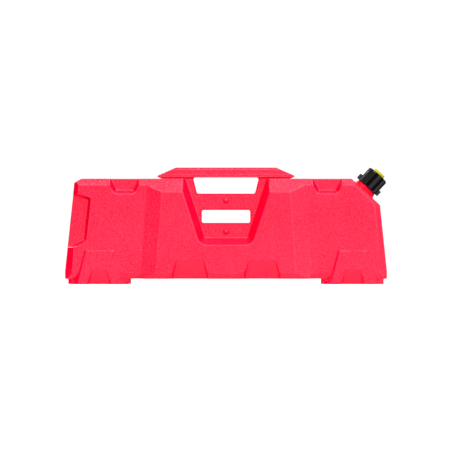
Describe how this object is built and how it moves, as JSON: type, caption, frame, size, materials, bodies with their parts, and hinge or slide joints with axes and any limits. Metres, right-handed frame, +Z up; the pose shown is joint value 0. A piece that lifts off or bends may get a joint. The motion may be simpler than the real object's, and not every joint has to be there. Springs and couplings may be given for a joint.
{
  "type": "portable fuel tank",
  "caption": "Slim flat moulded fuel can with a top carry handle, a through slot for a pack mount, moulded feet and a ribbed screw cap on a slanted corner.",
  "frame": {"origin": "on the floor under the middle of the tank's length and depth", "axes": "+X along the tank towards the capped corner, +Y through its depth away from the front face, +Z up"},
  "size_m": [0.704, 0.098, 0.2554],
  "materials": {
    "tank_red": "fine moulded grain, smooth on the neck",
    "cap_black": "semi-gloss moulded",
    "stopper_yellow": "smooth moulded",
    "gasket_rubber": "plain",
    "spout_yellow": "smooth moulded",
    "hose_yellow": "corrugated",
    "tube_clear": "milky extruded tube",
    "strainer_black": "moulded grid"
  },
  "bodies": {
    "tank": {"tank_body": "tank_red"},
    "spout": {"neck_gasket": "gasket_rubber", "spout_base": "spout_yellow", "spout_hose": "hose_yellow", "spout_nozzle": "spout_yellow", "vent_tube": "tube_clear", "strainer": "strainer_black"},
    "stopper": {"stopper": "stopper_yellow", "stopper_gasket": "gasket_rubber"},
    "collar": {"cap_collar": "cap_black"}
  },
  "joints": [
    {"name": "spout_pull", "type": "slide", "parent": "tank", "child": "spout", "axis": [0.682, 0, 0.7314], "range_m": [0, 0.22]},
    {"name": "cap_lift", "type": "slide", "parent": "spout", "child": "stopper", "axis": [0.682, 0, 0.7314], "range_m": [0, 0.01]},
    {"name": "cap_turn", "type": "hinge", "parent": "stopper", "child": "collar", "pos_m": [0.31593, 0, 0.21921], "axis": [0.682, 0, 0.7314], "range_deg": [0, 900.7]}
  ],
  "couplings": [
    {"joint": "cap_turn", "follows": "cap_lift", "rad_per_m": 1570.8}
  ]
}
